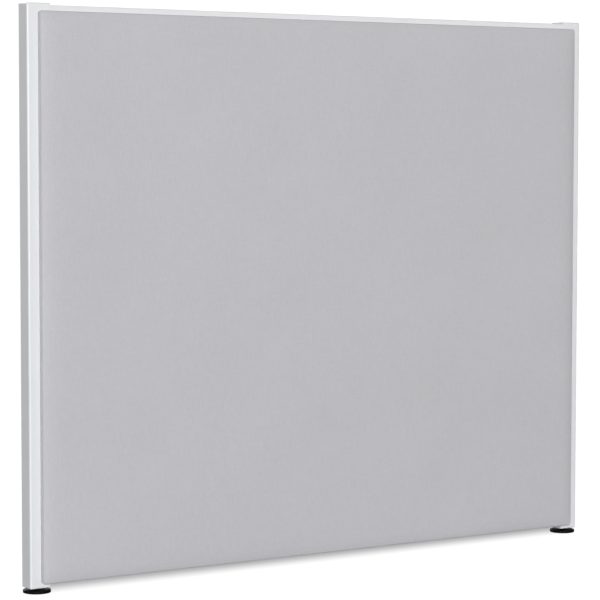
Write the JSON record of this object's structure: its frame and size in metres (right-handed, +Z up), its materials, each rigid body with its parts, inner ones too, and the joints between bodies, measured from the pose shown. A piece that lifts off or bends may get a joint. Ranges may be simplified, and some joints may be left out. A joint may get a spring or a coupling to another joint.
{
  "type": "partition panel",
  "caption": "Free-standing partition panel: light frame with corner caps, padded fabric tile on each face, and round levelling feet at the ends.",
  "frame": {"origin": "on the floor under the middle of the panel", "axes": "+X along the panel to the right seen from the front, +Y through the thickness from front to rear, +Z up"},
  "size_m": [1.84, 0.091, 1.524],
  "materials": {
    "frame_paint": "satin light grey powder coat",
    "cap_plastic": "moulded plastic, colour matched to the frame",
    "plain_steel": "bare mill finish, hidden inside",
    "zinc_screw": "bright zinc",
    "board": "pressed board",
    "batt": "soft fibre batt",
    "tile_fabric": "fine plain weave in warm grey",
    "foot_plastic": "black moulded nylon",
    "foot_rubber": "black rubber",
    "black_steel": "black oxide"
  },
  "bodies": {
    "frame": {"left_post": "frame_paint", "right_post": "frame_paint", "top_rail": "plain_steel", "bottom_rail": "plain_steel", "top_trim": "frame_paint", "left_top_cap": "cap_plastic", "right_top_cap": "cap_plastic", "left_bottom_block": "cap_plastic", "right_bottom_block": "cap_plastic", "left_top_bracket": "plain_steel", "right_top_bracket": "plain_steel", "left_bottom_bracket": "plain_steel", "right_bottom_bracket": "plain_steel", "bracket_screws": "zinc_screw", "block_screws": "zinc_screw", "septum_sheet": "plain_steel", "septum_channels": "plain_steel", "front_stiffeners": "plain_steel", "rear_stiffeners": "plain_steel", "front_tile_board": "board", "rear_tile_board": "board", "front_tile_batt": "batt", "rear_tile_batt": "batt", "front_tile_fabric": "tile_fabric", "rear_tile_fabric": "tile_fabric", "front_tile_clips": "plain_steel", "rear_tile_clips": "plain_steel", "left_foot_insert": "plain_steel", "right_foot_insert": "plain_steel"},
    "left_foot": {"left_foot_disc": "foot_plastic", "left_foot_pad": "foot_rubber"},
    "left_stud": {"left_foot_stud": "black_steel"},
    "right_foot": {"right_foot_disc": "foot_plastic", "right_foot_pad": "foot_rubber"},
    "right_stud": {"right_foot_stud": "black_steel"}
  },
  "joints": [
    {"name": "left_foot_level", "type": "slide", "parent": "frame", "child": "left_foot", "axis": [0, 0, -1], "range_m": [-0.0015, 0.024]},
    {"name": "left_stud_turn", "type": "hinge", "parent": "left_foot", "child": "left_stud", "pos_m": [-0.8835, 0, 0.0084], "axis": [0, 0, 1], "range_deg": [-360.5, 5768]},
    {"name": "right_foot_level", "type": "slide", "parent": "frame", "child": "right_foot", "axis": [0, 0, -1], "range_m": [-0.0015, 0.024]},
    {"name": "right_stud_turn", "type": "hinge", "parent": "right_foot", "child": "right_stud", "pos_m": [0.8835, 0, 0.0084], "axis": [0, 0, 1], "range_deg": [-360.5, 5768]}
  ],
  "couplings": [
    {"joint": "left_stud_turn", "follows": "left_foot_level", "rad_per_m": 4188.8},
    {"joint": "right_stud_turn", "follows": "right_foot_level", "rad_per_m": 4188.8}
  ]
}
